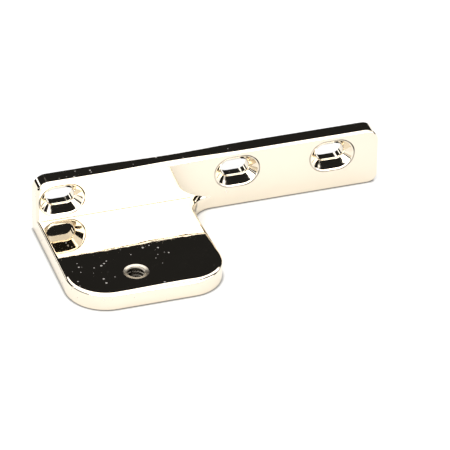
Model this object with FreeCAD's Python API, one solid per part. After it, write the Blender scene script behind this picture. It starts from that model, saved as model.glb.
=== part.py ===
"""L-shaped hinge bracket: one polished metal casting with three countersunk slots and a tapped hole.

Millimetres, +Z up. X runs along the leg, and -Y points away from the wall that the leg is screwed to.
The origin is the centre of the bracket's footprint, level with the flange's underside.
"""
import FreeCAD
import Part
import math
import os

Vec = FreeCAD.Vector

# Leg: the long upright plate that is screwed to the wall
LEG_LENGTH = 108.75
LEG_HEIGHT = 19.05
LEG_THICKNESS = 5.4
LEG_CORNER_RADIUS = 3.0
LEG_TOP_CORNER_RADIUS = 4.2

# Flange: the level plate with the tapped hole, as deep as the whole bracket
FLANGE_WIDTH = 47.95
FLANGE_DEPTH = 48.45
FLANGE_THICKNESS = 5.8
LEFT_CORNER_RADIUS = 12.7
RIGHT_CORNER_RADIUS = 11.0
WEB_RADIUS = 7.2

# Edge radii. Buffing has rounded the edges that show, most of all along the middle of the leg's
# top and at the flange's web; the back and underside are only broken sharp.
FRONT_ROUND = 0.7
FRONT_ROUND_LEFT = 1.1
FRONT_ROUND_BUFFED = 1.3
BACK_ROUND = 0.2
BACK_ROUND_BUFFED = 1.05
BUFFED_FROM = -36.0
BUFFED_MIDDLE = -11.0
BUFFED_TO = 12.0
FLANGE_ROUND = 1.0
FLANGE_ROUND_BUFFED = 1.3
FLANGE_ROUND_RIGHT = 0.5
FLANGE_ROUND_WEB = 2.2
BASE_ROUND = 0.45

# The casting's fillet where the flange's top meets the leg
ROOT_FILLET = 0.6

# Countersunk slots for No. 10 flat-head screws
SLOT_FROM_END = (7.95, 63.25, 93.75)
SLOT_ABOVE_BASE = 12.1
SLOT_LENGTH = 8.8
SLOT_WIDTH = 5.2
SLOT_SLOPE = math.radians(45)
MOUTH_WIDTH = 10.2
MOUTH_ROUND = 0.9

# Tapped hole, 1/4-20 UNC, in a shallow dish at both faces
PITCH = 1.27
MAJOR_RADIUS = 3.175
MINOR_RADIUS = 2.55
FLANK_ANGLE = math.radians(30)
THREAD_START_ANGLE = -90.0
DISH_RADIUS = 3.8
DISH_SLOPE = math.radians(10)
HOLE_EDGE_ROUND = 0.3
HOLE_FROM_END = 21.15
HOLE_FROM_WALL = 38.9

# How far the cutters stand out of the metal, and how far the thread's groove reaches into the bore
OVERSHOOT = 1.0
GROOVE_OVERLAP = 0.3

# Limits of the bracket in its own frame
LEFT = -LEG_LENGTH / 2
RIGHT = LEG_LENGTH / 2
WALL = FLANGE_DEPTH / 2
FRONT = -FLANGE_DEPTH / 2
LEG_FRONT = WALL - LEG_THICKNESS
FLANGE_RIGHT = LEFT + FLANGE_WIDTH
CORNER_INSET = 1 - math.sqrt(0.5)


def line(start, end):
    """A straight edge between two points."""
    return Part.LineSegment(start, end).toShape()


def arc(start, middle, end):
    """A circular edge through three points."""
    return Part.Arc(start, middle, end).toShape()


def softened(plate, radius_at):
    """The plate with its edges rounded.

    radius_at gives an edge's radius at a point of it, and the radius changes smoothly along the edge.
    Where it gives 0, the edge stays sharp.
    """
    document = FreeCAD.newDocument()
    base = document.addObject("Part::Feature", "plate")
    base.Shape = plate
    fillet = document.addObject("Part::Fillet", "softened")
    fillet.Base = base
    rows = []
    for number, edge in enumerate(plate.Edges, 1):
        start = radius_at(edge, edge.firstVertex().Point)
        end = radius_at(edge, edge.lastVertex().Point)
        if start > 0 and end > 0:
            rows.append((number, start, end))
    fillet.Edges = rows
    document.recompute()
    result = fillet.Shape.copy()
    FreeCAD.closeDocument(document.Name)
    return result


def leg_radius(edge, point):
    """Edge radius of the leg: 0 for the short edges that join its corners from front to back."""
    box = edge.BoundBox
    is_across = box.YLength > LEG_THICKNESS / 2
    is_low = point.z < 1e-6
    if is_across:
        is_lower_left = box.ZMax < 1e-6 and box.XMax < LEFT + 1e-6
        return BASE_ROUND if is_lower_left else 0
    is_buffed = abs(point.x - BUFFED_MIDDLE) < 1e-6
    if box.YMax > LEG_FRONT + 1e-6:
        return BACK_ROUND_BUFFED if is_buffed else BACK_ROUND
    if is_low:
        return BASE_ROUND
    if point.x < LEFT + 1e-6:
        return FRONT_ROUND_LEFT
    return FRONT_ROUND_BUFFED if is_buffed else FRONT_ROUND


def leg():
    """The upright plate: square at its lower left corner, rounded at the other three."""
    low = LEG_CORNER_RADIUS
    low_inset = low * CORNER_INSET
    r = LEG_TOP_CORNER_RADIUS
    inset = r * CORNER_INSET
    top = LEG_HEIGHT
    along_top = [RIGHT - r, BUFFED_TO, BUFFED_MIDDLE, BUFFED_FROM, LEFT + r]
    edges = [
        line(Vec(LEFT, WALL, 0), Vec(RIGHT - low, WALL, 0)),
        arc(Vec(RIGHT - low, WALL, 0), Vec(RIGHT - low_inset, WALL, low_inset), Vec(RIGHT, WALL, low)),
        line(Vec(RIGHT, WALL, low), Vec(RIGHT, WALL, top - r)),
        arc(Vec(RIGHT, WALL, top - r), Vec(RIGHT - inset, WALL, top - inset), Vec(RIGHT - r, WALL, top)),
    ]
    for start, end in zip(along_top, along_top[1:]):
        edges.append(line(Vec(start, WALL, top), Vec(end, WALL, top)))
    left_middle = Vec(LEFT + inset, WALL, top - inset)
    edges.append(arc(Vec(LEFT + r, WALL, top), left_middle, Vec(LEFT, WALL, top - r)))
    edges.append(line(Vec(LEFT, WALL, top - r), Vec(LEFT, WALL, low)))
    edges.append(line(Vec(LEFT, WALL, low), Vec(LEFT, WALL, 0)))
    plate = Part.Face(Part.Wire(edges)).extrude(Vec(0, -LEG_THICKNESS, 0))
    return softened(plate, leg_radius)


def flange_radius(edge, point):
    """Edge radius of the flange: 0 for its upright edges and for those inside the leg."""
    box = edge.BoundBox
    is_level = box.ZLength < 1e-6
    is_buried = box.YMin > LEG_FRONT + 1e-6 or box.XMin > FLANGE_RIGHT + WEB_RADIUS - 1e-6
    if not is_level or is_buried:
        return 0
    if point.z < FLANGE_THICKNESS / 2:
        return BASE_ROUND
    if point.y > LEG_FRONT - WEB_RADIUS - 1e-6 and point.x > FLANGE_RIGHT - 1e-6:
        return FLANGE_ROUND_WEB
    if point.x > FLANGE_RIGHT - 1e-6:
        return FLANGE_ROUND_RIGHT
    if point.x > FLANGE_RIGHT - RIGHT_CORNER_RADIUS - 1e-6:
        return FLANGE_ROUND_BUFFED
    return FLANGE_ROUND


def flange():
    """The level plate, with a concave web at its right that runs out along the leg.

    It ends inside the leg, halfway through its thickness, so that the two fuse into one body.
    """
    left = LEFT_CORNER_RADIUS
    left_inset = left * CORNER_INSET
    right = RIGHT_CORNER_RADIUS
    right_inset = right * CORNER_INSET
    web = WEB_RADIUS
    web_inset = web * CORNER_INSET
    web_end = FLANGE_RIGHT + web
    back = LEG_FRONT + LEG_THICKNESS / 2
    edges = [
        line(Vec(LEFT, back, 0), Vec(LEFT, FRONT + left, 0)),
        arc(
            Vec(LEFT, FRONT + left, 0),
            Vec(LEFT + left_inset, FRONT + left_inset, 0),
            Vec(LEFT + left, FRONT, 0),
        ),
        line(Vec(LEFT + left, FRONT, 0), Vec(FLANGE_RIGHT - right, FRONT, 0)),
        arc(
            Vec(FLANGE_RIGHT - right, FRONT, 0),
            Vec(FLANGE_RIGHT - right_inset, FRONT + right_inset, 0),
            Vec(FLANGE_RIGHT, FRONT + right, 0),
        ),
        line(Vec(FLANGE_RIGHT, FRONT + right, 0), Vec(FLANGE_RIGHT, LEG_FRONT - web, 0)),
        arc(
            Vec(FLANGE_RIGHT, LEG_FRONT - web, 0),
            Vec(FLANGE_RIGHT + web_inset, LEG_FRONT - web_inset, 0),
            Vec(web_end, LEG_FRONT, 0),
        ),
        line(Vec(web_end, LEG_FRONT, 0), Vec(web_end, back, 0)),
        line(Vec(web_end, back, 0), Vec(LEFT, back, 0)),
    ]
    plate = Part.Face(Part.Wire(edges)).extrude(Vec(0, 0, FLANGE_THICKNESS))
    return softened(plate, flange_radius)


def root_fillet():
    """The thin concave bar that eases the corner between the flange's top and the leg's front."""
    r = ROOT_FILLET
    x = LEFT + FLANGE_ROUND
    y = LEG_FRONT
    z = FLANGE_THICKNESS
    inset = r * CORNER_INSET
    edges = [
        line(Vec(x, y + r, z - r), Vec(x, y + r, z + r)),
        line(Vec(x, y + r, z + r), Vec(x, y, z + r)),
        arc(Vec(x, y, z + r), Vec(x, y - inset, z + inset), Vec(x, y - r, z)),
        line(Vec(x, y - r, z), Vec(x, y - r, z - r)),
        line(Vec(x, y - r, z - r), Vec(x, y + r, z - r)),
    ]
    run_out = WEB_RADIUS - math.sqrt((WEB_RADIUS + FLANGE_ROUND_WEB) ** 2 - (WEB_RADIUS - r) ** 2)
    length = FLANGE_WIDTH - FLANGE_ROUND + run_out
    return Part.Face(Part.Wire(edges)).extrude(Vec(length, 0, 0))


def countersink_profile(mouth, throat, slope, ease, plate_thickness):
    """Half of a countersunk hole's section: x is the radius, y the depth below the plate's face.

    The cone falls inwards at the slope from the mouth's radius to the throat's, and arcs tangent to
    both sides ease its outer and inner edges. The section overshoots the plate on both sides.
    """
    top = -OVERSHOOT
    bottom = plate_thickness + OVERSHOOT
    depth = (mouth - throat) * math.tan(slope)
    steep = math.pi / 2 - slope
    outer_reach = ease * math.tan(slope / 2)
    inner_reach = ease * math.tan(steep / 2)
    outer_start = Vec(mouth + outer_reach, 0, 0)
    outer_middle = Vec(outer_start.x - ease * math.sin(slope / 2), ease - ease * math.cos(slope / 2), 0)
    outer_end = Vec(mouth - outer_reach * math.cos(slope), outer_reach * math.sin(slope), 0)
    inner_start = Vec(throat + inner_reach * math.cos(slope), depth - inner_reach * math.sin(slope), 0)
    inner_end = Vec(throat, depth + inner_reach, 0)
    inner_in = ease - ease * math.cos(steep / 2)
    inner_middle = Vec(throat + inner_in, inner_end.y - ease * math.sin(steep / 2), 0)
    return [
        line(Vec(0, top, 0), Vec(outer_start.x, top, 0)),
        line(Vec(outer_start.x, top, 0), outer_start),
        arc(outer_start, outer_middle, outer_end),
        line(outer_end, inner_start),
        arc(inner_start, inner_middle, inner_end),
        line(inner_end, Vec(throat, bottom, 0)),
        line(Vec(throat, bottom, 0), Vec(0, bottom, 0)),
        line(Vec(0, bottom, 0), Vec(0, top, 0)),
    ]


def turned(profile):
    """The solid that a section sweeps in one turn about its depth axis."""
    return Part.Face(Part.Wire(profile)).revolve(Vec(0, 0, 0), Vec(0, 1, 0), 360)


def slot_cutter(from_end):
    """The metal removed for one countersunk slot: two turned ends joined by a straight middle."""
    profile = countersink_profile(MOUTH_WIDTH / 2, SLOT_WIDTH / 2, SLOT_SLOPE, MOUTH_ROUND, LEG_THICKNESS)
    half_run = (SLOT_LENGTH - SLOT_WIDTH) / 2
    end = turned(profile)
    half_section = Part.Face(Part.Wire(profile))
    section = half_section.fuse(half_section.mirror(Vec(0, 0, 0), Vec(1, 0, 0))).removeSplitter()
    section.rotate(Vec(0, 0, 0), Vec(0, 1, 0), 90)
    section.translate(Vec(-half_run, 0, 0))
    middle = section.extrude(Vec(2 * half_run, 0, 0))
    left_end = end.translated(Vec(-half_run, 0, 0))
    right_end = end.translated(Vec(half_run, 0, 0))
    cutter = middle.fuse([left_end, right_end]).removeSplitter()
    return cutter.translated(Vec(LEFT + from_end, LEG_FRONT, SLOT_ABOVE_BASE))


def thread_groove():
    """The V-shaped helical groove of the tapped hole, about Z and from below 0 upwards."""
    start = -2 * PITCH
    height = FLANGE_THICKNESS + 4 * PITCH
    inside = MINOR_RADIUS - GROOVE_OVERLAP
    half_width = (MAJOR_RADIUS - inside) * math.tan(FLANK_ANGLE)
    corners = [
        Vec(inside, 0, start - half_width),
        Vec(MAJOR_RADIUS, 0, start),
        Vec(inside, 0, start + half_width),
    ]
    helix = Part.makeHelix(PITCH, height, MINOR_RADIUS)
    helix.translate(Vec(0, 0, start))
    groove = Part.Wire(helix).makePipeShell([Part.makePolygon(corners + corners[:1])], True, True)
    groove.rotate(Vec(0, 0, 0), Vec(0, 0, 1), THREAD_START_ANGLE)
    return groove


def hole_cutters():
    """What is cut for the tapped hole, in order: the thread, then the bore with its dish at each face.

    The thread comes first because a groove cut from an open bore leaves the metal unchanged.
    """
    profile = countersink_profile(DISH_RADIUS, MINOR_RADIUS, DISH_SLOPE, HOLE_EDGE_ROUND, FLANGE_THICKNESS)
    upper = turned(profile)
    upper.rotate(Vec(0, 0, 0), Vec(1, 0, 0), -90)
    upper.translate(Vec(0, 0, FLANGE_THICKNESS))
    lower = turned(profile)
    lower.rotate(Vec(0, 0, 0), Vec(1, 0, 0), 90)
    place = Vec(LEFT + HOLE_FROM_END, WALL - HOLE_FROM_WALL, 0)
    return [cutter.translated(place) for cutter in (thread_groove(), upper, lower)]


def hinge_bracket():
    """The whole bracket: leg and flange in one body, less its slots and its tapped hole."""
    body = leg().fuse([flange(), root_fillet()]).removeSplitter()
    for from_end in SLOT_FROM_END:
        body = body.cut(slot_cutter(from_end))
    for cutter in hole_cutters():
        body = body.cut(cutter)
    return body.Solids[0]


os.makedirs("parts", exist_ok=True)
hinge_bracket().exportStep("parts/hinge_bracket.step")
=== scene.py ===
import math

import bpy
from mathutils import Matrix, Vector

# Camera, in metres and degrees, round a point on the flange.
LENS = 350.8
SENSOR = 36.0
CAMERA_AZIMUTH = -18.28
CAMERA_ELEVATION = 34.33
CAMERA_ROLL = 1.03
CAMERA_TARGET = (0.00196, 0.00875, 0.0003)
CAMERA_DISTANCE = 1.330

# Nickel plate. The flange's top is shaded as if it fell off by a hair towards the leg, and as if it
# rolled off to the right of ROLL_START. Noises are given as scale and height, in metres.
NICKEL = (0.800, 0.724, 0.600)
FLANGE_FALL = 0.030
ROLL_START = -0.0105
ROLL_OFF = 2.2
TOP_FACING = (0.9, 0.99)
TOP_LEVEL = (0.0068, 0.0078)
WAVES = (170.0, 1.6e-5)
RIPPLE = (750.0, 3.0e-6)
BRUSHED = (1500.0, 2.5e-7)
BRUSH_STRETCH = (0.25, 1.0, 6.0)
HAZE_SCALE = 260.0
BUFFED_ROUGHNESS = (0.015, 0.05)

# A painted dark reflection outlines the mouths of the slots on the leg's front, strongest at the
# right.
SLOTS_X = (-0.046425, 0.008875, 0.039375)
SLOT_Z = 0.0121
SLOT_HALF_RUN = 0.0018
PAINTED_SLOT_OUTLINE = (0.00516, 0.00556)
OUTLINE_SOFTNESS = 0.00008
OUTLINE_RISE = 0.006
OUTLINE_STRENGTH = (0.55, 0.96)
OUTLINE_BACK = (0.0200, 0.0205)
OUTLINE_NOISE_SCALE = 400.0

# Duller metal in the tapped hole and its dish, and painted shade that darkens its colour there,
# more on the near side.
HOLE = (-0.033225, -0.014675)
HOLE_REACH = 0.0039
HOLE_SOFTNESS = 0.0001
HOLE_LIMIT_Y = (0.0, 0.005)
PAINTED_HOLE_SHADE_REACH = 0.0035
PAINTED_HOLE_SHADE = (0.85, 0.30)
PAINTED_HOLE_SHADE_RING = (0.0024, 0.0030)
PAINTED_HOLE_SHADE_RING_STRENGTH = 0.75
UNBUFFED_ROUGHNESS = 0.24

# Dust specks, more of them towards the left.
DUST_COLOR = (0.55, 0.52, 0.48, 1.0)
DUST_SCALE = 900.0
DUST_LEFT = (-0.050, -0.012)
DUST_LEFT_SHARE = 0.14
DUST_CLUMP_SCALE = 90.0
DUST_CLUMP_SHARE = 0.10
DUST_RADIUS = 0.28
DUST_COVER = 0.45

# Studio: radiances of what the metal reflects, and patches of it. A patch is a span of azimuth and
# its softness, then a span of elevation and its softness, all in degrees. Azimuth 0 is in front.
SOFTBOX = 4.4
TENT = 2.6
BLACK = 0.018
SOFTBOX_PATCH = (-60, 27, 3, 2, 48, 2)
LAMP_PATCH = (-158, -136, 2, 13, 19, 1.5)
FRONT_GAP = (-43, 90, 3, -6, 63, 1.5)
RIGHT_GAP = (70, 112, 3, 3, 21, 1.5)
LEFT_GAP = (-105, -58, 3, -6, 27, 2)
BACK_AZIMUTH = (108, 114)
BACK_ELEVATION = (36.5, 38.5)
OVAL_CENTRE = 8.0
OVAL_HALF_WIDTH = 70.0
OVAL_HALF_HEIGHT = 52.0
OVAL_EDGE = (0.96, 0.99)
SKIRTING_CENTRE = 15.0
SKIRTING_RISE = 0.075
SKIRTING_EDGE = (0.6, 2.2)

# Floor.
FLOOR_HALF_WIDTH = 4.0
FLOOR_ALBEDO = 0.665
PAINTED_CONTACT_SHADOW_REACH = 0.0009

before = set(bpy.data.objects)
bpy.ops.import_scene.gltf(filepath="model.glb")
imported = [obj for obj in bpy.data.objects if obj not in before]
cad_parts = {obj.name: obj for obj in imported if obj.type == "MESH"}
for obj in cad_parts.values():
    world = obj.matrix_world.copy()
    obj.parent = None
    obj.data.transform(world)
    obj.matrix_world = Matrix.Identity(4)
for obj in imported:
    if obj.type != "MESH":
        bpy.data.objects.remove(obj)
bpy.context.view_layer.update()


class Nodes:
    """Short ways to add shader nodes to a tree."""

    def __init__(self, tree):
        self.tree = tree
        tree.nodes.clear()

    def add(self, kind, **settings):
        node = self.tree.nodes.new(kind)
        for key, value in settings.items():
            setattr(node, key, value)
        return node

    def put(self, value, socket):
        if isinstance(value, bpy.types.NodeSocket):
            self.tree.links.new(value, socket)
        else:
            socket.default_value = value

    def math(self, operation, *values, clamp=False):
        node = self.add("ShaderNodeMath", operation=operation, use_clamp=clamp)
        for value, socket in zip(values, node.inputs):
            self.put(value, socket)
        return node.outputs[0]

    def ramp(self, value, low, high, out_low=0.0, out_high=1.0):
        """Smooth step from out_low at low to out_high at high."""
        node = self.add("ShaderNodeMapRange", interpolation_type="SMOOTHSTEP")
        for v, socket in zip((value, low, high, out_low, out_high), node.inputs):
            self.put(v, socket)
        return node.outputs[0]

    def band(self, value, low, high, soft):
        """1 between low and high, 0 outside, with soft edges."""
        up = self.ramp(value, low - soft, low + soft)
        down = self.ramp(value, high - soft, high + soft, 1.0, 0.0)
        return self.math("MULTIPLY", up, down)

    def product(self, *values):
        result = values[0]
        for value in values[1:]:
            result = self.math("MULTIPLY", result, value)
        return result

    def patch(self, azimuth, elevation, spans):
        """1 inside a patch of the studio, 0 outside, with soft edges."""
        return self.product(self.band(azimuth, *spans[:3]), self.band(elevation, *spans[3:]))

    def distance(self, a, b):
        """Length of the hypotenuse over a and b."""
        squares = self.math("ADD", self.math("MULTIPLY", a, a), self.math("MULTIPLY", b, b))
        return self.math("SQRT", squares)

    def noise(self, vector, scale, detail=0.0):
        node = self.add("ShaderNodeTexNoise")
        node.inputs["Scale"].default_value = scale
        node.inputs["Detail"].default_value = detail
        self.put(vector, node.inputs["Vector"])
        return node.outputs["Fac"]

    def stretched(self, vector, factors):
        node = self.add("ShaderNodeVectorMath", operation="MULTIPLY")
        self.put(vector, node.inputs[0])
        node.inputs[1].default_value = factors
        return node.outputs[0]

    def mix(self, factor, a, b):
        node = self.add("ShaderNodeMix", data_type="FLOAT")
        self.put(factor, node.inputs[0])
        self.put(a, node.inputs[2])
        self.put(b, node.inputs[3])
        return node.outputs[0]


def nickel():
    """Polished nickel plate: mirror bright, a little uneven from buffing, with specks of dust, and
    painted shade round the slot mouths and in the tapped hole.
    """
    material = bpy.data.materials.new("polished_nickel")
    material.use_nodes = True
    n = Nodes(material.node_tree)
    out = n.add("ShaderNodeOutputMaterial")
    coords = n.add("ShaderNodeTexCoord").outputs["Object"]
    split = n.add("ShaderNodeSeparateXYZ")
    n.put(coords, split.inputs[0])
    x, y, z = split.outputs
    geometry = n.add("ShaderNodeNewGeometry")
    facing = n.add("ShaderNodeSeparateXYZ")
    n.put(geometry.outputs["True Normal"], facing.inputs[0])
    on_top = n.product(n.ramp(facing.outputs[2], *TOP_FACING), n.ramp(z, *TOP_LEVEL, 1.0, 0.0))

    fall = n.math("MULTIPLY", y, -FLANGE_FALL)
    past = n.math("MAXIMUM", n.math("SUBTRACT", x, ROLL_START), 0.0)
    roll = n.math("MULTIPLY", n.math("MULTIPLY", past, past), -ROLL_OFF)
    dish = n.math("MULTIPLY", n.math("ADD", fall, roll), on_top)
    waves = n.noise(coords, WAVES[0], detail=1.0)
    ripple = n.noise(coords, RIPPLE[0], detail=2.0)
    brushed = n.noise(n.stretched(coords, BRUSH_STRETCH), BRUSHED[0], detail=2.0)
    height = n.math("ADD", dish, n.math("MULTIPLY", waves, WAVES[1]))
    height = n.math("ADD", height, n.math("MULTIPLY", ripple, RIPPLE[1]))
    height = n.math("ADD", height, n.math("MULTIPLY", brushed, BRUSHED[1]))
    bump = n.add("ShaderNodeBump")
    bump.inputs["Strength"].default_value = 1.0
    bump.inputs["Distance"].default_value = 1.0
    n.put(height, bump.inputs["Height"])

    # Painted dark reflection: a dark ring painted into the colour round each slot mouth, stronger
    # to the right.
    painted_darkening = 0.0
    for slot_x in SLOTS_X:
        sideways = n.math("SUBTRACT", x, slot_x)
        across = n.math("SUBTRACT", n.math("ABSOLUTE", sideways), SLOT_HALF_RUN)
        across = n.math("MAXIMUM", across, 0.0)
        from_slot = n.distance(across, n.math("SUBTRACT", z, SLOT_Z))
        strength = n.ramp(sideways, 0.0, OUTLINE_RISE, *OUTLINE_STRENGTH)
        ring = n.band(from_slot, *PAINTED_SLOT_OUTLINE, OUTLINE_SOFTNESS)
        painted_darkening = n.math("MAXIMUM", painted_darkening, n.math("MULTIPLY", ring, strength))
    uneven = n.ramp(n.noise(coords, OUTLINE_NOISE_SCALE), 0.3, 0.6, 0.6, 1.0)
    painted_darkening = n.product(painted_darkening, n.ramp(y, *OUTLINE_BACK, 1.0, 0.0), uneven)

    # Painted shade: the colour darkens in the tapped hole's dish, more on its near side, and in a
    # ring.
    behind_hole = n.math("SUBTRACT", y, HOLE[1])
    from_hole = n.distance(n.math("SUBTRACT", x, HOLE[0]), behind_hole)
    near_hole = n.ramp(from_hole, HOLE_REACH - HOLE_SOFTNESS, HOLE_REACH, 1.0, 0.0)
    unbuffed_and_shaded = n.math("MULTIPLY", near_hole, n.ramp(y, *HOLE_LIMIT_Y, 1.0, 0.0))
    painted_hole_shade = n.ramp(behind_hole, -PAINTED_HOLE_SHADE_REACH, PAINTED_HOLE_SHADE_REACH, *PAINTED_HOLE_SHADE)
    painted_hole_shade_ring = n.band(from_hole, *PAINTED_HOLE_SHADE_RING, HOLE_SOFTNESS)
    painted_hole_shade = n.math("MAXIMUM", painted_hole_shade, n.math("MULTIPLY", painted_hole_shade_ring, PAINTED_HOLE_SHADE_RING_STRENGTH))
    painted_darkening = n.math("MAXIMUM", painted_darkening, n.math("MULTIPLY", unbuffed_and_shaded, painted_hole_shade))

    metal = n.add("ShaderNodeBsdfPrincipled")
    # The painted dark reflection and painted shade scale down the base colour.
    tint = n.add("ShaderNodeVectorMath", operation="SCALE")
    tint.inputs[0].default_value = NICKEL
    n.put(n.math("SUBTRACT", 1.0, painted_darkening), tint.inputs["Scale"])
    n.put(tint.outputs[0], metal.inputs["Base Color"])
    metal.inputs["Metallic"].default_value = 1.0
    haze = n.noise(coords, HAZE_SCALE, detail=4.0)
    buffed = n.ramp(haze, 0.35, 0.75, *BUFFED_ROUGHNESS)
    n.put(n.mix(unbuffed_and_shaded, buffed, UNBUFFED_ROUGHNESS), metal.inputs["Roughness"])
    n.put(bump.outputs[0], metal.inputs["Normal"])

    cells = n.add("ShaderNodeTexVoronoi")
    cells.inputs["Scale"].default_value = DUST_SCALE
    n.put(coords, cells.inputs["Vector"])
    draw = n.add("ShaderNodeSeparateColor")
    n.put(cells.outputs["Color"], draw.inputs[0])
    clump = n.ramp(n.noise(coords, DUST_CLUMP_SCALE, detail=2.0), 0.42, 0.65)
    left = n.ramp(x, *DUST_LEFT, DUST_LEFT_SHARE, 0.0)
    share = n.math("ADD", n.math("MULTIPLY", clump, DUST_CLUMP_SHARE), left)
    chosen = n.ramp(n.math("ADD", draw.outputs[0], share), 0.995, 1.0)
    radius = n.math("MULTIPLY", draw.outputs[1], DUST_RADIUS)
    speck = n.ramp(n.math("SUBTRACT", cells.outputs["Distance"], radius), 0.0, 0.08, 1.0, 0.0)
    dust = n.product(chosen, speck, DUST_COVER)
    pale = n.add("ShaderNodeBsdfDiffuse")
    pale.inputs["Color"].default_value = DUST_COLOR
    mix = n.add("ShaderNodeMixShader")
    n.put(dust, mix.inputs[0])
    n.put(metal.outputs[0], mix.inputs[1])
    n.put(pale.outputs[0], mix.inputs[2])
    n.put(mix.outputs[0], out.inputs["Surface"])
    return material


def studio_world():
    """Bright tent with a softbox in front, and the dark gaps that the metal reflects."""
    world = bpy.data.worlds.new("studio")
    bpy.context.scene.world = world
    world.use_nodes = True
    n = Nodes(world.node_tree)
    out = n.add("ShaderNodeOutputWorld")
    background = n.add("ShaderNodeBackground")
    n.put(background.outputs[0], out.inputs["Surface"])
    coords = n.add("ShaderNodeTexCoord")
    split = n.add("ShaderNodeSeparateXYZ")
    n.put(coords.outputs["Generated"], split.inputs[0])
    x, y, z = split.outputs
    elevation = n.math("DEGREES", n.math("ARCSINE", z))
    azimuth = n.math("DEGREES", n.math("ARCTAN2", x, n.math("MULTIPLY", y, -1.0)))
    side = n.math("ABSOLUTE", azimuth)
    softbox = n.patch(azimuth, elevation, SOFTBOX_PATCH)
    level = n.mix(softbox, TENT, SOFTBOX)
    # Dark room behind, under the edge of the ceiling tent, with one pale patch at its left.
    back = n.product(n.ramp(side, *BACK_AZIMUTH), n.ramp(elevation, *BACK_ELEVATION, 1.0, 0.0))
    lamp = n.patch(azimuth, elevation, LAMP_PATCH)
    back = n.product(back, n.math("SUBTRACT", 1.0, lamp))
    # Dark gap round the front softbox: outside its oval outline, and below the ceiling tent.
    u = n.math("DIVIDE", n.math("SUBTRACT", azimuth, OVAL_CENTRE), OVAL_HALF_WIDTH)
    v = n.math("DIVIDE", elevation, OVAL_HALF_HEIGHT)
    outside = n.ramp(n.distance(u, v), *OVAL_EDGE)
    front = n.product(n.patch(azimuth, elevation, FRONT_GAP), outside)
    # Dark skirting along the horizon, low in front and higher towards the sides.
    aside = n.math("ABSOLUTE", n.math("SUBTRACT", azimuth, SKIRTING_CENTRE))
    above = n.math("SUBTRACT", elevation, n.math("MULTIPLY", aside, SKIRTING_RISE))
    skirting = n.ramp(above, *SKIRTING_EDGE, 1.0, 0.0)
    left = n.patch(azimuth, elevation, LEFT_GAP)
    right = n.patch(azimuth, elevation, RIGHT_GAP)
    dark = n.math("MAXIMUM", back, front)
    for part in (right, skirting, left):
        dark = n.math("MAXIMUM", dark, part)
    level = n.mix(dark, level, BLACK)
    n.put(level, background.inputs["Strength"])
    background.inputs["Color"].default_value = (1.0, 1.0, 1.0, 1.0)


def studio_floor():
    """White floor, with a painted contact shadow: its colour darkens in a thin line where the
    bracket meets it.
    """
    mesh = bpy.data.meshes.new("floor")
    half = FLOOR_HALF_WIDTH
    corners = [(-half, -half, 0.0), (half, -half, 0.0), (half, half, 0.0), (-half, half, 0.0)]
    mesh.from_pydata(corners, [], [(0, 1, 2, 3)])
    floor = bpy.data.objects.new("floor", mesh)
    bpy.context.scene.collection.objects.link(floor)
    material = bpy.data.materials.new("floor_white")
    material.use_nodes = True
    n = Nodes(material.node_tree)
    out = n.add("ShaderNodeOutputMaterial")
    shader = n.add("ShaderNodeBsdfDiffuse")
    # Painted contact shadow: ambient occlusion darkens the floor's colour near the bracket.
    painted_contact_shadow = n.add("ShaderNodeAmbientOcclusion")
    painted_contact_shadow.samples = 8
    painted_contact_shadow.inputs["Distance"].default_value = PAINTED_CONTACT_SHADOW_REACH
    painted_contact_shadow.inputs["Color"].default_value = (FLOOR_ALBEDO, FLOOR_ALBEDO, FLOOR_ALBEDO, 1.0)
    n.put(painted_contact_shadow.outputs["Color"], shader.inputs["Color"])
    n.put(shader.outputs[0], out.inputs["Surface"])
    mesh.materials.append(material)


def studio_camera():
    """Long lens, turned round the target by azimuth and elevation, then rolled."""
    data = bpy.data.cameras.new("camera")
    data.lens = LENS
    data.sensor_width = SENSOR
    data.clip_start = 0.05
    data.clip_end = 50.0
    camera = bpy.data.objects.new("camera", data)
    bpy.context.scene.collection.objects.link(camera)
    azimuth = math.radians(CAMERA_AZIMUTH)
    elevation = math.radians(CAMERA_ELEVATION)
    back = Vector((
        math.sin(azimuth) * math.cos(elevation),
        -math.cos(azimuth) * math.cos(elevation),
        math.sin(elevation),
    ))
    turn = (-back).to_track_quat("-Z", "Y").to_matrix().to_4x4()
    roll = Matrix.Rotation(math.radians(CAMERA_ROLL), 4, "Z")
    place = Matrix.Translation(Vector(CAMERA_TARGET) + back * CAMERA_DISTANCE)
    camera.matrix_world = place @ turn @ roll
    bpy.context.scene.camera = camera


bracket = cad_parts["hinge_bracket"]
for slot in bracket.material_slots:
    slot.material = nickel()
studio_world()
studio_floor()
studio_camera()
bpy.context.scene.view_settings.view_transform = "Standard"
